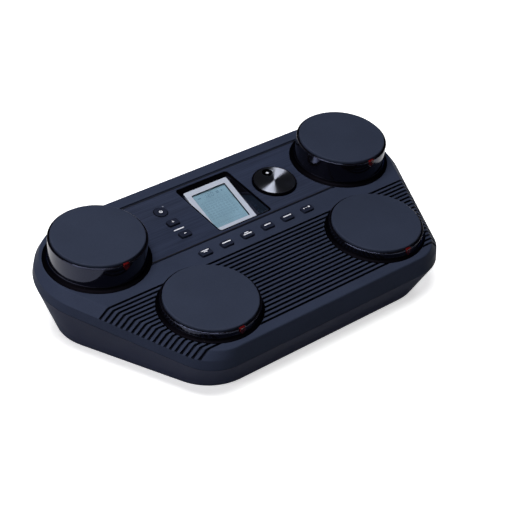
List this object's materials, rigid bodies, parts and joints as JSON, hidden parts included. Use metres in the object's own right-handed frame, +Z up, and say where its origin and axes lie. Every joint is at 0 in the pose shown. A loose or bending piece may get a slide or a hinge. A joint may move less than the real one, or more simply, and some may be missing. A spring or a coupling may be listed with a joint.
{
  "type": "electronic percussion pad",
  "caption": "Tabletop electronic drum unit: round rubber pads in gloss housings on a grooved sloping deck, with a sunk display, a data dial, buttons, rear sockets and a battery bay.",
  "frame": {"origin": "bottom centre of the overall box, on the surface under the feet", "axes": "+X to the player's right, +Y away from the player to the socket side, +Z up"},
  "size_m": [0.4404, 0.2482, 0.1094],
  "materials": {
    "deck_plastic": "fine satin grain",
    "base_plastic": "fine satin grain",
    "panel_film": "brushed finish, lines left to right",
    "gloss_black": "polished",
    "silver_trim": "satin silver",
    "clear_window": "clear",
    "display_glass": "grey-blue display, off",
    "spun_metal": "spun, anisotropic",
    "steel": "plated",
    "inner_black": "moulded",
    "circuit_board": "solder mask",
    "bright_metal": "nickel plate",
    "painted_steel": "black paint",
    "cone_paper": "paper",
    "foot_rubber": "matt",
    "foam": "closed-cell foam",
    "button_plastic": "satin",
    "pad_rubber": "matt, very fine grain",
    "brass": "plain",
    "lamp_red": "clear red"
  },
  "bodies": {
    "housing": {"top_cover": "deck_plastic", "bottom_cover": "base_plastic", "control_panel": "panel_film", "lcd_surround": "gloss_black", "lcd_frame": "silver_trim", "lcd_lens": "clear_window", "lcd_module": "display_glass", "encoder_body": "inner_black", "tact_switches": "inner_black", "control_board": "circuit_board", "board_screws": "steel", "pad_screws": "steel", "main_board": "circuit_board", "jack_board": "circuit_board", "socket_tray": "base_plastic", "jack_panel": "base_plastic", "pedal_jacks": "inner_black", "audio_jacks": "inner_black", "dc_inlet": "inner_black", "usb_socket": "bright_metal", "speaker_frames": "painted_steel", "speaker_cones": "cone_paper", "battery_box": "base_plastic", "battery_contacts": "bright_metal", "rubber_feet": "foot_rubber", "case_screws": "steel", "foam_rings": "foam", "hit_lamp_front_left": "lamp_red", "pad_housing_front_left": "gloss_black", "hit_lamp_front_right": "lamp_red", "pad_housing_front_right": "gloss_black", "hit_lamp_back_left": "lamp_red", "pad_housing_back_left": "gloss_black", "hit_lamp_back_right": "lamp_red", "pad_housing_back_right": "gloss_black"},
    "dial": {"data_dial": "gloss_black", "dial_cap": "spun_metal", "encoder_shaft": "steel"},
    "door": {"battery_door": "base_plastic"},
    "power_button": {"power_button": "button_plastic"},
    "plus_button": {"plus_button": "button_plastic"},
    "minus_button": {"minus_button": "button_plastic"},
    "function_button_1": {"function_button_1": "button_plastic"},
    "function_button_2": {"function_button_2": "button_plastic"},
    "function_button_3": {"function_button_3": "button_plastic"},
    "function_button_4": {"function_button_4": "button_plastic"},
    "function_button_5": {"function_button_5": "button_plastic"},
    "function_button_6": {"function_button_6": "button_plastic"},
    "pad_front_left": {"pad_skin_front_left": "pad_rubber", "pad_plate_front_left": "steel", "piezo_front_left": "brass"},
    "pad_front_right": {"pad_skin_front_right": "pad_rubber", "pad_plate_front_right": "steel", "piezo_front_right": "brass"},
    "pad_back_left": {"pad_skin_back_left": "pad_rubber", "pad_plate_back_left": "steel", "piezo_back_left": "brass"},
    "pad_back_right": {"pad_skin_back_right": "pad_rubber", "pad_plate_back_right": "steel", "piezo_back_right": "brass"}
  },
  "joints": [
    {"name": "dial_turn", "type": "hinge", "parent": "housing", "child": "dial", "pos_m": [0.0685, 0.05352, 0.07609], "axis": [0, -0.1045, 0.9945], "continuous": true},
    {"name": "door_open", "type": "hinge", "parent": "housing", "child": "door", "pos_m": [0, -0.0266, 0.0025], "axis": [-1, 0, 0], "range_deg": [0, 85]},
    {"name": "power_button_press", "type": "slide", "parent": "housing", "child": "power_button", "axis": [0, 0.1045, -0.9945], "range_m": [0, 0.0006], "stiffness_N_per_m": 1500},
    {"name": "plus_button_press", "type": "slide", "parent": "housing", "child": "plus_button", "axis": [0, 0.1045, -0.9945], "range_m": [0, 0.0006], "stiffness_N_per_m": 1500},
    {"name": "minus_button_press", "type": "slide", "parent": "housing", "child": "minus_button", "axis": [0, 0.1045, -0.9945], "range_m": [0, 0.0006], "stiffness_N_per_m": 1500},
    {"name": "function_button_1_press", "type": "slide", "parent": "housing", "child": "function_button_1", "axis": [0, 0.1045, -0.9945], "range_m": [0, 0.0006], "stiffness_N_per_m": 1500},
    {"name": "function_button_2_press", "type": "slide", "parent": "housing", "child": "function_button_2", "axis": [0, 0.1045, -0.9945], "range_m": [0, 0.0006], "stiffness_N_per_m": 1500},
    {"name": "function_button_3_press", "type": "slide", "parent": "housing", "child": "function_button_3", "axis": [0, 0.1045, -0.9945], "range_m": [0, 0.0006], "stiffness_N_per_m": 1500},
    {"name": "function_button_4_press", "type": "slide", "parent": "housing", "child": "function_button_4", "axis": [0, 0.1045, -0.9945], "range_m": [0, 0.0006], "stiffness_N_per_m": 1500},
    {"name": "function_button_5_press", "type": "slide", "parent": "housing", "child": "function_button_5", "axis": [0, 0.1045, -0.9945], "range_m": [0, 0.0006], "stiffness_N_per_m": 1500},
    {"name": "function_button_6_press", "type": "slide", "parent": "housing", "child": "function_button_6", "axis": [0, 0.1045, -0.9945], "range_m": [0, 0.0006], "stiffness_N_per_m": 1500},
    {"name": "pad_front_left_press", "type": "slide", "parent": "housing", "child": "pad_front_left", "axis": [0, 0.1045, -0.9945], "range_m": [0, 0.0004], "stiffness_N_per_m": 25000},
    {"name": "pad_front_right_press", "type": "slide", "parent": "housing", "child": "pad_front_right", "axis": [0, 0.1045, -0.9945], "range_m": [0, 0.0004], "stiffness_N_per_m": 25000},
    {"name": "pad_back_left_press", "type": "slide", "parent": "housing", "child": "pad_back_left", "axis": [0, 0.1045, -0.9945], "range_m": [0, 0.0004], "stiffness_N_per_m": 25000},
    {"name": "pad_back_right_press", "type": "slide", "parent": "housing", "child": "pad_back_right", "axis": [0, 0.1045, -0.9945], "range_m": [0, 0.0004], "stiffness_N_per_m": 25000}
  ]
}
